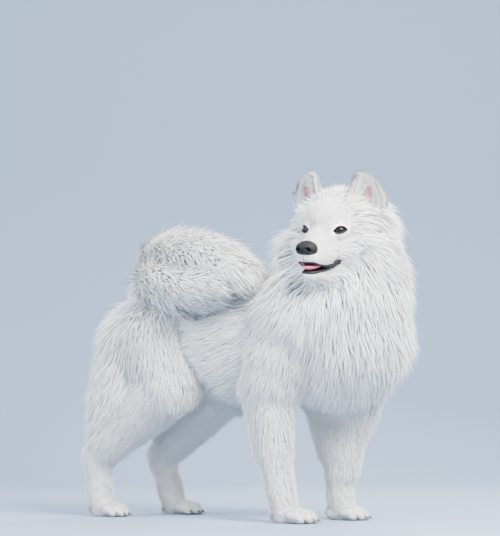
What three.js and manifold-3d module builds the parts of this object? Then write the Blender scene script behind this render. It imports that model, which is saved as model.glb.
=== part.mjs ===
// A life-size samoyed standing on four feet, its head turned to its right and its tail curled over its back.
// Millimetres. +X is forward, +Y the animal's left, +Z up, and the soles are at Z = 0.
import * as THREE from "three";
import { mergeVertices } from "three/addons/utils/BufferGeometryUtils.js";
import Module from "manifold-3d";

const wasm = await Module();
wasm.setup();

// Driving sizes
const BODY_CENTRE = { x: -4.5, y: -20.6 }; // from the middle of the trunk to the middle of the footprint box
const HEAD_AT = { x: 237, y: -38, z: 585 }; // between the ears, at the height of the eyes
const HEAD_TURN = -86; // degrees, to the animal's right
const HEAD_DIP = 8; // degrees, nose down
const HEAD_TILT = -6; // degrees, its right ear up
const GAP = 0.3; // between nodes that touch
const WELD = 1e-3; // points closer than this are one
const SHORT_COAT = 16; // a coat up to this depth is part of the plain surface
const CORE_SHARE = 0.5; // of a longer coat's depth, where the locks start
const TRUNK_BLEND = 30;
const FACE_BLEND = 14;
const EYE_R = 12.5;
const COATED = true; // the long coat as locks over a core, or as one plain form out to the tips
const WHITE = { color: 0xf4f2ee, roughness: 0.9, metalness: 0 };
const BLACK_SKIN = { color: 0x1b1a1c, roughness: 0.45, metalness: 0 };

const vec = (x, y, z) => new THREE.Vector3(x, y, z);
const lerp = THREE.MathUtils.lerp;
const degrees = THREE.MathUtils.degToRad;
const UP = vec(0, 0, 1);

// Seeded random numbers from 0 to 1
function randomFrom(seed) {
  let state = seed;
  return () => {
    state = (state + 0x6d2b79f5) | 0;
    let t = Math.imul(state ^ (state >>> 15), 1 | state);
    t = (t + Math.imul(t ^ (t >>> 7), 61 | t)) ^ t;
    return ((t ^ (t >>> 14)) >>> 0) / 4294967296;
  };
}

// Solids
function toSolid(geometry, weld = 1e-4) {
  const bare = new THREE.BufferGeometry().setAttribute("position", geometry.getAttribute("position"));
  if (geometry.index) bare.setIndex(geometry.index);
  const merged = mergeVertices(bare, weld);
  const triVerts = new Uint32Array(merged.index.array);
  const vertProperties = merged.attributes.position.array;
  const made = new wasm.Manifold(new wasm.Mesh({ numProp: 3, vertProperties, triVerts }));
  if (made.volume() >= 0) return made;
  for (let i = 0; i < triVerts.length; i += 3) {
    [triVerts[i + 1], triVerts[i + 2]] = [triVerts[i + 2], triVerts[i + 1]];
  }
  return new wasm.Manifold(new wasm.Mesh({ numProp: 3, vertProperties, triVerts }));
}

// A closed shell over rings of equal size, from a first point to a last one
function ringShell(first, rings, last) {
  const sides = rings[0].length;
  const points = [first, ...rings.flat(), last];
  const end = points.length - 1;
  const faces = [];
  for (let j = 0; j < sides; j++) {
    const next = (j + 1) % sides;
    faces.push(0, 1 + next, 1 + j);
    for (let i = 0; i + 1 < rings.length; i++) {
      const a = 1 + i * sides;
      const b = a + sides;
      faces.push(a + j, a + next, b + j, a + next, b + next, b + j);
    }
    const top = 1 + (rings.length - 1) * sides;
    faces.push(top + j, top + next, end);
  }
  const geometry = new THREE.BufferGeometry().setFromPoints(points);
  geometry.setIndex(faces);
  return toSolid(geometry);
}

function toGeometry(solid) {
  const { vertProperties, triVerts } = solid.getMesh();
  const geometry = new THREE.BufferGeometry();
  geometry.setAttribute("position", new THREE.BufferAttribute(new Float32Array(vertProperties), 3));
  geometry.setIndex(new THREE.BufferAttribute(new Uint32Array(triVerts), 1));
  return geometry;
}

const centreOf = (points) => points.reduce((sum, p) => sum.add(p), vec(0, 0, 0)).divideScalar(points.length);

function largestBody(solid) {
  const bodies = solid.decompose().sort((a, b) => b.volume() - a.volume());
  return bodies[0];
}

function joinAll(solids) {
  return solids.reduce((sum, s) => sum.add(s));
}

function orientedBox(low, high, matrix, margin = 0) {
  const size = high.clone().sub(low).addScalar(2 * margin);
  const middle = low.clone().add(high).multiplyScalar(0.5);
  const geometry = new THREE.BoxGeometry(size.x, size.y, size.z);
  geometry.translate(middle.x, middle.y, middle.z);
  return toSolid(geometry.applyMatrix4(matrix));
}

// The body's form: chains of joints, each with a skin radius and a depth of coat. A chain runs the way its hair lies.
const joint = (x, y, z, r, coat) => ({ at: vec(x, y, z), r, coat });
const headMatrix = new THREE.Matrix4()
  .makeTranslation(HEAD_AT.x, HEAD_AT.y, HEAD_AT.z)
  .multiply(new THREE.Matrix4().makeRotationZ(degrees(HEAD_TURN)))
  .multiply(new THREE.Matrix4().makeRotationY(degrees(HEAD_DIP)))
  .multiply(new THREE.Matrix4().makeRotationX(degrees(HEAD_TILT)));
const onHead = (x, y, z) => vec(x, y, z).applyMatrix4(headMatrix);
const headJoint = (x, y, z, r, coat) => ({ at: onHead(x, y, z), r, coat });

const trunk = [
  [joint(150, 0, 414, 78, 42), joint(0, 0, 406, 80, 42), joint(-150, 0, 408, 72, 42), joint(-245, 0, 398, 62, 44)],
  [joint(150, 0, 350, 72, 38), joint(0, 0, 350, 74, 40), joint(-140, 0, 374, 60, 44)],
  [joint(226, 0, 455, 80, 66), joint(234, 6, 388, 74, 66), joint(212, 14, 338, 62, 50)],
];
const neck = [
  [joint(236, -14, 578, 60, 58), joint(222, -2, 515, 78, 66), joint(184, 0, 440, 88, 60)],
];
const shoulders = [1, -1].map((side) => [
  joint(150, side * 60, 400, 50, 40),
  joint(side > 0 ? 150 : 112, side * 72, 300, 40, 30),
]);

// Each leg has its own stance.
const FORE = {
  left: { side: 1, elbow: 150, carpus: 172, pastern: 174, paw: 186 },
  right: { side: -1, elbow: 98, carpus: 112, pastern: 126, paw: 152 },
};
const HIND = {
  left: { side: 1, stifle: -112, hock: -292, pastern: -262, paw: -232 },
  right: { side: -1, stifle: -150, hock: -346, pastern: -338, paw: -314 },
};
const FORE_SPREAD = 79;
const HIND_SPREAD = 82;

function foreleg({ side, elbow, carpus, pastern }) {
  const y = side * FORE_SPREAD;
  return [
    [joint(elbow + 26, y - side * 8, 330, 40, 32), joint(elbow + 4, y, 262, 31, 22), joint(carpus, y, 112, 22, 15),
      joint(pastern, y, 44, 20, 13), joint(pastern + 6, y, 16, 20, 10)],
    [joint(elbow - 22, y, 268, 18, 26), joint(carpus - 20, y, 150, 12, 18)],
  ];
}

function hindleg({ side, stifle, hock, pastern }) {
  const y = side * HIND_SPREAD;
  const stifleY = side * (HIND_SPREAD - 8);
  return [
    [joint(-190, side * 50, 388, 68, 40), joint(stifle - 6, stifleY, 288, 48, 30),
      joint(lerp(stifle, hock, 0.62), y - side * 2, 192, 32, 24), joint(hock + 6, y, 128, 20, 14)],
    [joint(-250, side * 46, 376, 52, 56), joint(lerp(-262, hock + 40, 0.45), side * 66, 278, 36, 52),
      joint(hock + 34, y, 190, 20, 34)],
    [joint(hock, y, 130, 18, 12), joint(lerp(hock, pastern, 0.6), y, 80, 20, 14), joint(pastern, y, 42, 20, 12),
      joint(pastern + 10, y, 16, 20, 10)],
  ];
}

const tailChain = [
  joint(-246, 0, 440, 26, 42), joint(-240, -8, 504, 22, 48), joint(-200, -34, 548, 20, 54),
  joint(-140, -64, 556, 18, 56), joint(-70, -90, 544, 16, 56), joint(-5, -106, 524, 13, 52), joint(42, -114, 502, 9, 44),
];
const tailFringe = [
  joint(-165, -104, 500, 16, 44), joint(-80, -128, 478, 15, 46), joint(0, -132, 482, 11, 40),
];

const head = [
  [headJoint(55, 0, 20, 38, 8), headJoint(18, 0, 10, 56, 12), headJoint(-20, 0, -8, 54, 34)], // skull
  [headJoint(141, 0, -45, 18.5, 3), headJoint(112, 0, -38, 26, 5), headJoint(80, 0, -22, 31, 7)], // muzzle
  [headJoint(130, 0, -82, 14, 4), headJoint(104, 0, -80, 18, 6), headJoint(62, 0, -74, 26, 10)], // lower jaw
  ...[1, -1].map((side) => [headJoint(68, side * 24, 10, 12, 4), headJoint(34, side * 40, 14, 22, 10)]), // brow
  ...[1, -1].map((side) => [headJoint(72, side * 24, -40, 20, 5), headJoint(24, side * 46, -32, 30, 14),
    headJoint(4, side * 58, -44, 36, 34)]), // cheek
  ...[1, -1].map((side) => [headJoint(138, side * 9, -52, 13, 3), headJoint(110, side * 15, -50, 18, 5)]), // lips
];

const fore = Object.fromEntries(Object.entries(FORE).map(([name, stance]) => [name, foreleg(stance)]));
const hind = Object.fromEntries(Object.entries(HIND).map(([name, stance]) => [name, hindleg(stance)]));

// How far out from its skin a chain's surface is: 0 is the skin, "core" the base of the locks and "tips" their ends
function surfaceRadius(r, coat, level) {
  if (level === "tips") return r + coat;
  if (level === "core") return r + Math.max(Math.min(coat, SHORT_COAT), coat * CORE_SHARE);
  return r;
}

function chainDistance(p, chain, level) {
  let best = Infinity;
  let lie = null;
  for (let i = 0; i + 1 < chain.length; i++) {
    const [a, b] = [chain[i], chain[i + 1]];
    const along = b.at.clone().sub(a.at);
    const t = THREE.MathUtils.clamp(p.clone().sub(a.at).dot(along) / along.lengthSq(), 0, 1);
    const nearest = a.at.clone().addScaledVector(along, t);
    const d = p.distanceTo(nearest) - surfaceRadius(lerp(a.r, b.r, t), lerp(a.coat, b.coat, t), level);
    if (d < best) {
      best = d;
      lie = along;
    }
  }
  return { distance: best, lie };
}

// The distance from p to a group of chains that run into one another smoothly
function formDistance(p, chains, level, blend = TRUNK_BLEND) {
  let d = Infinity;
  for (const chain of chains) {
    const next = chainDistance(p, chain, level).distance;
    if (d === Infinity) {
      d = next;
      continue;
    }
    const near = Math.max(blend - Math.abs(d - next), 0) / blend;
    d = Math.min(d, next) - (near * near * blend) / 4;
  }
  return d;
}

function outwardAt(p, distance) {
  const step = 1.5;
  const slope = (axis) => {
    const ahead = p.clone().addScaledVector(axis, step);
    const behind = p.clone().addScaledVector(axis, -step);
    return distance(ahead) - distance(behind);
  };
  return vec(slope(vec(1, 0, 0)), slope(vec(0, 1, 0)), slope(UP)).normalize();
}

// The way the hair lies at p: the directions of the chains near it, weighted by how near they are
function lieAt(p, chains) {
  const sum = vec(0, 0, 0);
  for (const chain of chains) {
    const { distance, lie } = chainDistance(p, chain, "tips");
    sum.addScaledVector(lie.clone().normalize(), Math.exp(-Math.max(distance, -60) / 14));
  }
  return sum.normalize();
}

// Where a ray from inside a form leaves it
function exitPoint(from, direction, distance) {
  let reach = 0;
  const at = (s) => from.clone().addScaledVector(direction, s);
  for (let i = 0; i < 80; i++) {
    const d = distance(at(reach));
    if (d > -0.05) break;
    reach += Math.max(-d * 0.7, 0.05);
  }
  return at(Math.max(reach, 1));
}

// A shell cast from an axis onto a form: square rings along the axis and fans of rays round its two ends
function castShell(axis, { rings, sides, across, distance, fans = [40, 68] }) {
  const path = new THREE.CatmullRomCurve3(axis, false, "centripetal");
  const frameAt = (t) => {
    const tangent = path.getTangentAt(t);
    const u = across.clone().addScaledVector(tangent, -across.dot(tangent)).normalize();
    return { middle: path.getPointAt(t), tangent, u, v: tangent.clone().cross(u) };
  };
  const ringAt = (t, tilt) => {
    const { middle, tangent, u, v } = frameAt(t);
    return Array.from({ length: sides }, (_, j) => {
      const angle = (2 * Math.PI * j) / sides;
      const ray = u.clone().multiplyScalar(Math.cos(angle)).addScaledVector(v, Math.sin(angle));
      ray.multiplyScalar(Math.cos(tilt)).addScaledVector(tangent, Math.sin(tilt));
      return exitPoint(middle, ray, distance);
    });
  };
  const poleAt = (t, sign) => {
    const { middle, tangent } = frameAt(t);
    return exitPoint(middle, tangent.multiplyScalar(sign), distance);
  };
  const tilts = fans.map(degrees);
  const all = [
    ...tilts.toReversed().map((tilt) => ringAt(0, -tilt)),
    ...Array.from({ length: rings }, (_, i) => ringAt(i / (rings - 1), 0)),
    ...tilts.map((tilt) => ringAt(1, tilt)),
  ];
  return ringShell(poleAt(0, -1), all, poleAt(1, 1));
}

// A leg is cast in level slices, from its top down to the floor.
function castLeg(axis, { levels, sides, distance }) {
  const middleAt = (z) => {
    const i = Math.max(axis.findIndex((p, k) => k > 0 && p.z <= z), 1);
    const [above, below] = [axis[i - 1], axis[i]];
    return above.clone().lerp(below, THREE.MathUtils.clamp((above.z - z) / (above.z - below.z), 0, 1)).setZ(z);
  };
  const rings = levels.map((z) =>
    Array.from({ length: sides }, (_, j) => {
      const angle = (2 * Math.PI * j) / sides;
      return exitPoint(middleAt(z), vec(Math.cos(angle), Math.sin(angle), 0), distance);
    }),
  );
  return ringShell(centreOf(rings[0]), rings, centreOf(rings.at(-1)));
}

const levelsBetween = (high, low, count) => Array.from({ length: count }, (_, i) => lerp(high, low, i / (count - 1)));

function limbAxis(chain, bottom) {
  const points = chain.map((j) => j.at.clone());
  points.push(points.at(-1).clone().setZ(bottom));
  return points;
}

// Small round pieces
function ellipsoid(centre, radii, matrix, wide = 12, high = 8) {
  const geometry = new THREE.SphereGeometry(1, wide, high);
  geometry.scale(radii.x, radii.y, radii.z).translate(centre.x, centre.y, centre.z);
  return toSolid(geometry.applyMatrix4(matrix));
}

function roundTube(points, radiusAt, sides, steps, closed = false) {
  const path = new THREE.CatmullRomCurve3(points, closed, "centripetal");
  const frames = path.computeFrenetFrames(steps, closed);
  const ringAt = (i) => {
    const middle = path.getPointAt(i / steps);
    return Array.from({ length: sides }, (_, j) => {
      const angle = (2 * Math.PI * j) / sides;
      return middle.clone()
        .addScaledVector(frames.normals[i], radiusAt(i / steps) * Math.cos(angle))
        .addScaledVector(frames.binormals[i], radiusAt(i / steps) * Math.sin(angle));
    });
  };
  const rings = Array.from({ length: steps + 1 }, (_, i) => ringAt(i));
  return ringShell(path.getPointAt(0), rings, path.getPointAt(1));
}

// A profile in the head's own forward and up directions, carried right across the head
const acrossHead = headMatrix.clone()
  .multiply(new THREE.Matrix4().makeBasis(vec(1, 0, 0), vec(0, 0, 1), vec(0, -1, 0)));
function throughHead(profile, halfWidth = 90) {
  const shape = new THREE.Shape(profile.map(([x, z]) => new THREE.Vector2(x, z)));
  const geometry = new THREE.ExtrudeGeometry(shape, { depth: 2 * halfWidth, bevelEnabled: false });
  geometry.translate(0, 0, -halfWidth);
  return toSolid(geometry.applyMatrix4(acrossHead));
}

// Head
const faceDistance = (p) => formDistance(p, head, "core", FACE_BLEND);
const NOSE = { back: 150, low: -54, centre: vec(151, 0, -37), size: vec(20, 21, 15.5) };
const MOUTH_CORNER = [60, -54];
const UPPER_LIP = [[84, -61], [110, -66], [136, -63.5], [175, -60]];
const LOWER_LIP = [[175, -80], [136, -78.5], [110, -76], [84, -68]];
const THROAT = [28, -132];

function lipHeight(profile, x) {
  const ordered = [MOUTH_CORNER, ...profile.toSorted((a, b) => a[0] - b[0])];
  const i = Math.max(ordered.findIndex(([px], k) => k > 0 && px >= x), 1);
  const [[x0, z0], [x1, z1]] = [ordered[i - 1], ordered[i]];
  return lerp(z0, z1, THREE.MathUtils.clamp((x - x0) / (x1 - x0), 0, 1));
}

// A lip follows the skin round the muzzle from one corner of the mouth to the other.
function lip(profile, offset, distance, radius = 2.6) {
  const points = [];
  for (let turn = -110; turn <= 110; turn += 20) {
    const ray = vec(Math.cos(degrees(turn)), Math.sin(degrees(turn)), 0).transformDirection(headMatrix);
    let z = profile[1][1];
    let at = null;
    for (let pass = 0; pass < 3; pass++) {
      at = exitPoint(onHead(88, 0, z + offset), ray, distance);
      const local = at.clone().applyMatrix4(headMatrix.clone().invert());
      z = lipHeight(profile, local.x);
    }
    points.push(at);
  }
  return roundTube(points, () => radius, 5, 18);
}

function eyeAt(side) {
  const out = vec(0.86, side * 0.5, 0.1).normalize();
  const outward = out.clone().transformDirection(headMatrix);
  const surface = exitPoint(onHead(50, side * 22, 1), outward, faceDistance);
  const centre = surface.clone().addScaledVector(outward, -EYE_R - 0.8);
  const u = vec(0, 0, 1).transformDirection(headMatrix).cross(outward).normalize();
  const v = outward.clone().cross(u);
  return { side, centre, outward, u, v };
}

// The almond outline of the lids, on a sphere round the eye
function lidCurve(eye, half, high, lift) {
  return Array.from({ length: 14 }, (_, i) => {
    const angle = (2 * Math.PI * i) / 14;
    const across = half * Math.cos(angle);
    const along = high * Math.sin(angle) * (1 - 0.35 * Math.cos(angle) ** 2) + 0.1 * across * eye.side;
    const deep = Math.sqrt(Math.max((EYE_R + lift) ** 2 - across * across - along * along, 0));
    return eye.centre.clone().addScaledVector(eye.u, across).addScaledVector(eye.v, along)
      .addScaledVector(eye.outward, deep);
  });
}

function eyeOpening(eye) {
  const outline = lidCurve(eye, 11.5, 6, 0.5);
  const inner = outline.map((p) => p.clone().addScaledVector(eye.outward, -9));
  const outer = outline.map((p) => p.clone().addScaledVector(eye.outward, 14));
  return ringShell(centreOf(inner), [inner, outer], centreOf(outer));
}

// Ears
const EAR = { base: 40, tip: 122, spread: 62, x: 6, half: 35, thick: 15 };

function earShell(side, inset, grow = 0) {
  const outward = degrees(side * 22);
  const face = vec(Math.cos(outward), Math.sin(outward), 0);
  const across = vec(-Math.sin(outward), Math.cos(outward), 0);
  const stations = [[0, 1, 1], [0.2, 1.04, 0.95], [0.42, 0.9, 0.8], [0.64, 0.68, 0.62], [0.82, 0.44, 0.46], [0.94, 0.24, 0.3]];
  const forward = inset > 0 ? EAR.thick * 0.75 : 0;
  const rings = stations.map(([s, w, t]) => {
    const z = lerp(EAR.base - grow + (inset > 0 ? 14 : 0), EAR.tip - inset * 1.6, s);
    const middle = vec(EAR.x + 14 * s, side * (EAR.spread + 4 * Math.sin(Math.PI * s) - 3 * s), z)
      .addScaledVector(face, forward * (1 - s * 0.5));
    return Array.from({ length: 14 }, (_, j) => {
      const angle = (2 * Math.PI * j) / 14;
      const p = middle.clone()
        .addScaledVector(across, Math.max(EAR.half * w - inset + grow, 2) * Math.cos(angle))
        .addScaledVector(face, Math.max(EAR.thick * t - inset * 0.4 + grow, 1.5) * Math.sin(angle));
      return p.applyMatrix4(headMatrix);
    });
  });
  const tip = onHead(EAR.x + 14, side * (EAR.spread - 3), EAR.tip - inset * 1.6);
  const foot = centreOf(rings[0]);
  return ringShell(foot, rings, tip);
}

// Paws
function toe(paw, across, reach, height, turn) {
  const point = (x, y, z) => paw.place(x, y, z);
  const rings = [[0, 9.5], [0.5, 11], [0.9, 7.5]].map(([s, r]) => {
    const x = lerp(4, reach, s);
    const z = lerp(height, 8, s * s);
    return Array.from({ length: 6 }, (_, j) => {
      const angle = (2 * Math.PI * (j + 0.5)) / 6;
      return point(x, across + turn * s + r * 0.9 * Math.cos(angle), z + r * Math.sin(angle));
    });
  });
  return ringShell(centreOf(rings[0]), rings, point(reach + 2, across + turn, 9));
}

function claw(paw, across, reach, turn) {
  const rings = [[-4, 3.2, 8], [5, 2.2, 5.5]].map(([x, r, z]) =>
    Array.from({ length: 4 }, (_, j) => {
      const angle = (2 * Math.PI * j) / 4;
      return paw.place(reach + x, across + turn + r * Math.cos(angle), z + r * Math.sin(angle));
    }),
  );
  return ringShell(centreOf(rings[0]), rings, paw.place(reach + 11, across + turn, 2.6));
}

const TOES = [
  { across: -20, reach: 34, turn: -5 },
  { across: -7, reach: 44, turn: -1.5 },
  { across: 7, reach: 44, turn: 1.5 },
  { across: 20, reach: 34, turn: 5 },
];

function pawPieces(x, y, width) {
  const paw = { place: (px, py, pz) => vec(x + px, y + py * width, pz) };
  const pad = ellipsoid(vec(x - 8, y, 14), vec(40, 29 * width, 21), new THREE.Matrix4(), 12, 6);
  const toes = TOES.map((t) => toe(paw, t.across, t.reach, 17, t.turn));
  const claws = TOES.map((t) => claw(paw, t.across, t.reach, t.turn));
  return [pad, ...toes, ...claws];
}

// Locks of coat: flat, widest near the root and drawn out to a point, each lying along the coat and rising to its tips
const LOCK = {
  sections: [[0, 0.7], [0.32, 1], [0.68, 0.72]], // share of the length, share of the width
  thick: 0.2, // of the width
  sink: 10, // of the root, below the core
  lift: 11, // the least depth of coat over the core that carries locks
  spacing: 80,
  sag: 0.35, // how far the weight of the hair turns its lie down
  sway: 14, // degrees from the lie, at most
  straight: 0.5, // a lock that bends more sharply than this from one section to the next is left out
};

function lock({ root, outward, lie, length, width, rise, sway }, distance, grow) {
  let p = root.clone().addScaledVector(outward, -LOCK.sink);
  let normal = outward.clone();
  const along = lie.clone();
  const steps = [...LOCK.sections.map(([share]) => share), 1];
  const places = steps.map((share, i) => {
    if (i > 0) {
      along.applyAxisAngle(normal, sway).addScaledVector(normal, -along.dot(normal)).normalize();
      p.addScaledVector(along, (share - steps[i - 1]) * length + (share === 1 ? 2 * grow : 0));
      normal = outwardAt(p, distance);
      p.addScaledVector(normal, lerp(-LOCK.sink, rise, Math.sin((share * Math.PI) / 2)) - distance(p));
    }
    return { at: p.clone(), normal: normal.clone() };
  });
  const sides = LOCK.sections.map((_, i) =>
    places[i].normal.clone().cross(places[i + 1].at.clone().sub(places[i].at)).normalize());
  const turned = (list) => list.slice(1).some((v, i) => v.dot(list[i]) < LOCK.straight);
  if (turned(sides) || turned(places.map(({ normal: n }) => n))) return null;
  const rings = LOCK.sections.map(([, share], i) => {
    const { at, normal: n } = places[i];
    const side = sides[i];
    const half = (share * width) / 2 + 4 * grow;
    const thick = LOCK.thick * width * share;
    const corner = (across, up) => at.clone().addScaledVector(side, across).addScaledVector(n, up);
    return [corner(half, -thick * 0.35 - grow), corner(0, thick * 0.65 + grow), corner(-half, -thick * 0.35 - grow)];
  });
  return ringShell(centreOf(rings[0]), rings, places.at(-1).at);
}

// Points spread evenly over a solid's surface, in random order
function spreadOver(solid, spacing, random) {
  const { vertProperties, triVerts } = solid.getMesh();
  const corner = (i) => vec(...vertProperties.slice(triVerts[i] * 3, triVerts[i] * 3 + 3));
  const tried = [];
  for (let i = 0; i < triVerts.length; i += 3) {
    const triangle = new THREE.Triangle(corner(i), corner(i + 1), corner(i + 2));
    const count = triangle.getArea() / (spacing * spacing * 0.03);
    for (let k = Math.floor(count + random()); k > 0; k--) {
      const [u, v] = [random(), random()];
      const [a, b] = u + v > 1 ? [1 - u, 1 - v] : [u, v];
      const at = triangle.a.clone().multiplyScalar(1 - a - b)
        .addScaledVector(triangle.b, a).addScaledVector(triangle.c, b);
      tried.push({ at, order: random() });
    }
  }
  const kept = [];
  for (const { at } of tried.toSorted((a, b) => a.order - b.order)) {
    if (kept.every((other) => other.distanceTo(at) > spacing)) kept.push(at);
  }
  return kept;
}

// Every lock that grows from a surface, as the values that lock() needs
function plantLocks(surface, chains, spacing, seed) {
  const random = randomFrom(seed);
  const core = (p) => formDistance(p, chains, "core");
  const tips = (p) => formDistance(p, chains, "tips");
  return spreadOver(surface, spacing, random).map((root) => {
    const depth = core(root) - tips(root);
    const lie = lieAt(root, chains).addScaledVector(UP, -LOCK.sag);
    const vary = (share) => 1 + share * (2 * random() - 1);
    return {
      root, depth, lie, outward: outwardAt(root, core), rise: depth * vary(0.12),
      length: (52 + 2.1 * depth) * vary(0.16), width: spacing * 1.18 * vary(0.14),
      sway: degrees(LOCK.sway * (2 * random() - 1)),
    };
  }).filter(({ depth, lie, outward }) => depth > LOCK.lift && Math.abs(lie.clone().normalize().dot(outward)) < 0.93);
}

const lockSolids = (locks, chains, grow = 0) =>
  locks.map((one) => lock(one, (p) => formDistance(p, chains, "core"), grow)).filter((made) => made);

const LEVEL = COATED ? "core" : "tips";
const identity = new THREE.Matrix4();
const trunkForm = [...trunk, ...neck, ...shoulders];
const distanceOf = (chains, blend) => (p) => formDistance(p, chains, LEVEL, blend);
const headAcross = vec(0, 1, 0).transformDirection(headMatrix);

// The flesh as one body
const trunkShell = castShell([vec(150, 0, 392), vec(0, 0, 388), vec(-150, 0, 392), vec(-222, 0, 392)],
  { rings: 8, sides: 16, across: vec(0, 1, 0), distance: distanceOf([...trunkForm, hind.left[0], hind.right[0]]) });
const neckShell = castShell([vec(190, 0, 400), vec(186, -2, 460), vec(205, -8, 530), vec(222, -14, 575)],
  { rings: 6, sides: 16, across: vec(0, 1, 0), distance: distanceOf([...trunk, ...neck]) });
const headShell = castShell([onHead(-16, 0, -10), onHead(30, 0, -14), onHead(80, 0, -40), onHead(112, 0, -52)],
  { rings: 12, sides: 20, across: headAcross, fans: [22, 42, 62, 78],
    distance: (p) => formDistance(p, head, LEVEL, FACE_BLEND) });
const foreShells = Object.values(fore).map((chains) =>
  castLeg(limbAxis(chains[0], 8), { levels: levelsBetween(330, 12, 8), sides: 10, distance: distanceOf(chains) }));
const hindShells = Object.entries(hind).map(([name, chains]) => {
  const { side, hock, pastern, stifle } = HIND[name];
  const y = side * HIND_SPREAD;
  const axis = [vec(-210, side * 50, 390), vec(lerp(stifle, -250, 0.45), side * 66, 285),
    vec(hock + 46, y, 180), vec(hock + 12, y, 128), vec(pastern + 2, y, 50), vec(pastern + 8, y, 8)];
  return castLeg(axis, { levels: [...levelsBetween(390, 130, 8), ...levelsBetween(112, 12, 4)], sides: 11,
    distance: distanceOf(chains) });
});
const paws = [
  ...Object.values(FORE).map(({ paw, side }) => pawPieces(paw, side * FORE_SPREAD, 1)),
  ...Object.values(HIND).map(({ paw, side }) => pawPieces(paw, side * HIND_SPREAD, 0.92)),
].flat();
const floor = orientedBox(vec(-900, -900, -200), vec(900, 900, 0), identity);
const coatForm = [...trunkForm, ...fore.left, ...fore.right, ...hind.left, ...hind.right, ...head];
const flesh = joinAll([trunkShell, neckShell, headShell, ...foreShells, ...hindShells]);
const bodyLocks = COATED ? lockSolids(plantLocks(flesh, coatForm, LOCK.spacing, 15), coatForm) : [];
let rest = joinAll([flesh, ...bodyLocks, ...paws]).subtract(floor);

// A length of tail is a straight round-ended piece between two joints.
function tailLength(a, b, grow) {
  const distance = (p) => chainDistance(p, [a, b], LEVEL).distance - grow;
  const across = Math.abs(b.at.clone().sub(a.at).normalize().z) > 0.8 ? vec(1, 0, 0) : UP;
  return castShell([a.at, b.at], { rings: 2, sides: 10, across, distance, fans: [45] });
}

const tailForm = [tailChain, tailFringe];
const tailCore = (grow) => joinAll(tailForm.flatMap((chain) =>
  chain.slice(1).map((b, i) => tailLength(chain[i], b, grow))));
const tailLocks = COATED ? plantLocks(tailCore(0), tailForm, LOCK.spacing * 0.78, 5) : [];
const tailBody = (grow) => joinAll([tailCore(grow), ...lockSolids(tailLocks, tailForm, grow)]);

// Nodes are taken off the body one by one. What is left keeps clear of each by the gap.
const nodes = {};
function takeOff(name, low, high, matrix = identity) {
  nodes[name] = largestBody(rest.intersect(orientedBox(low, high, matrix)));
  rest = rest.subtract(orientedBox(low, high, matrix, GAP));
}

const sideBox = (side, near, far) => [side > 0 ? near : -far, side > 0 ? far : -near];
for (const [name, { side }] of Object.entries({ left: { side: 1 }, right: { side: -1 } })) {
  const [yLow, yHigh] = sideBox(side, 2, 250);
  takeOff("fore_paw_" + name, vec(20, yLow, -5), vec(400, yHigh, 36));
  takeOff("foreleg_" + name, vec(20, yLow, 36 + GAP), vec(400, yHigh, 222));
  takeOff("hind_paw_" + name, vec(-500, yLow, -5), vec(-20, yHigh, 34));
  takeOff("hind_shank_" + name, vec(-500, yLow, 34 + GAP), vec(-20, yHigh, 190));
  const [thighLow, thighHigh] = sideBox(side, 24, 250);
  takeOff("thigh_" + name, vec(-500, thighLow, 190 + GAP), vec(-84, thighHigh, 338));
}

const headCut = headMatrix.clone()
  .multiply(new THREE.Matrix4().makeTranslation(60, 0, -128))
  .multiply(new THREE.Matrix4().makeRotationY(degrees(35)));
takeOff("head", vec(-400, -122, 0), vec(400, 300, 500), headCut);
const neckCut = new THREE.Matrix4().makeTranslation(160, 0, 450).multiply(new THREE.Matrix4().makeRotationY(degrees(28)));
takeOff("neck", vec(-200, -300, 0), vec(300, 300, 400), neckCut);

const tail = tailBody(0);
const aroundTail = tailBody(GAP).add(tail);
nodes.torso = rest;
for (const name of ["torso", "neck", "head", "thigh_left", "thigh_right"]) {
  nodes[name] = largestBody(nodes[name].subtract(aroundTail));
}
rest = tail;
takeOff("tail_base", vec(-600, -400, 0), vec(-196, 400, 900));
takeOff("tail_middle", vec(-196 + GAP, -400, 0), vec(-66, 400, 900));
nodes.tail_tip = largestBody(rest);

// The face
const upperLip = lip(UPPER_LIP, 2.2, faceDistance);
const lowerLip = (radius) => lip(LOWER_LIP, -2.2, faceDistance, radius);
const eyes = [1, -1].map(eyeAt);
nodes.head = joinAll([nodes.head, upperLip, lowerLip(2.6),
  ...eyes.map((eye) => roundTube(lidCurve(eye, 13.2, 7.4, 1.2), () => 2.1, 5, 20, true))]);
for (const eye of eyes) {
  const ball = (r) => ellipsoid(eye.centre, vec(r, r, r), identity, 12, 8);
  nodes.head = nodes.head.subtract(ball(EYE_R + GAP)).subtract(eyeOpening(eye));
  nodes[eye.side > 0 ? "eye_left" : "eye_right"] = ball(EYE_R);
}
const mouthGap = throughHead([MOUTH_CORNER, ...UPPER_LIP, ...LOWER_LIP], 90);
const jawProfile = (gap) => [[61 - gap, -55.5 + gap], [84, -64.5 + gap], [110, -70 + gap], [180, -70 + gap],
  [180, -160], [24 - gap, -160]];
const whole = nodes.head;
nodes.jaw = largestBody(whole.intersect(throughHead(jawProfile(0), 38)).subtract(mouthGap));
nodes.head = whole.subtract(throughHead(jawProfile(GAP), 38 + GAP)).subtract(mouthGap);

const noseBox = orientedBox(vec(NOSE.back, -60, NOSE.low), vec(260, 60, 20), headMatrix);
const pad = ellipsoid(NOSE.centre, NOSE.size, headMatrix, 14, 8);
const nostrils = [1, -1].map((side) => ellipsoid(vec(169, side * 11, -40), vec(9, 4.6, 3.6), headMatrix, 8, 6));
const padBox = orientedBox(vec(NOSE.back + GAP, -60, -80), vec(260, 60, 20), headMatrix);
nodes.nose = largestBody(pad.intersect(padBox).subtract(joinAll(nostrils)));
nodes.head = nodes.head.subtract(noseBox);

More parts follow.
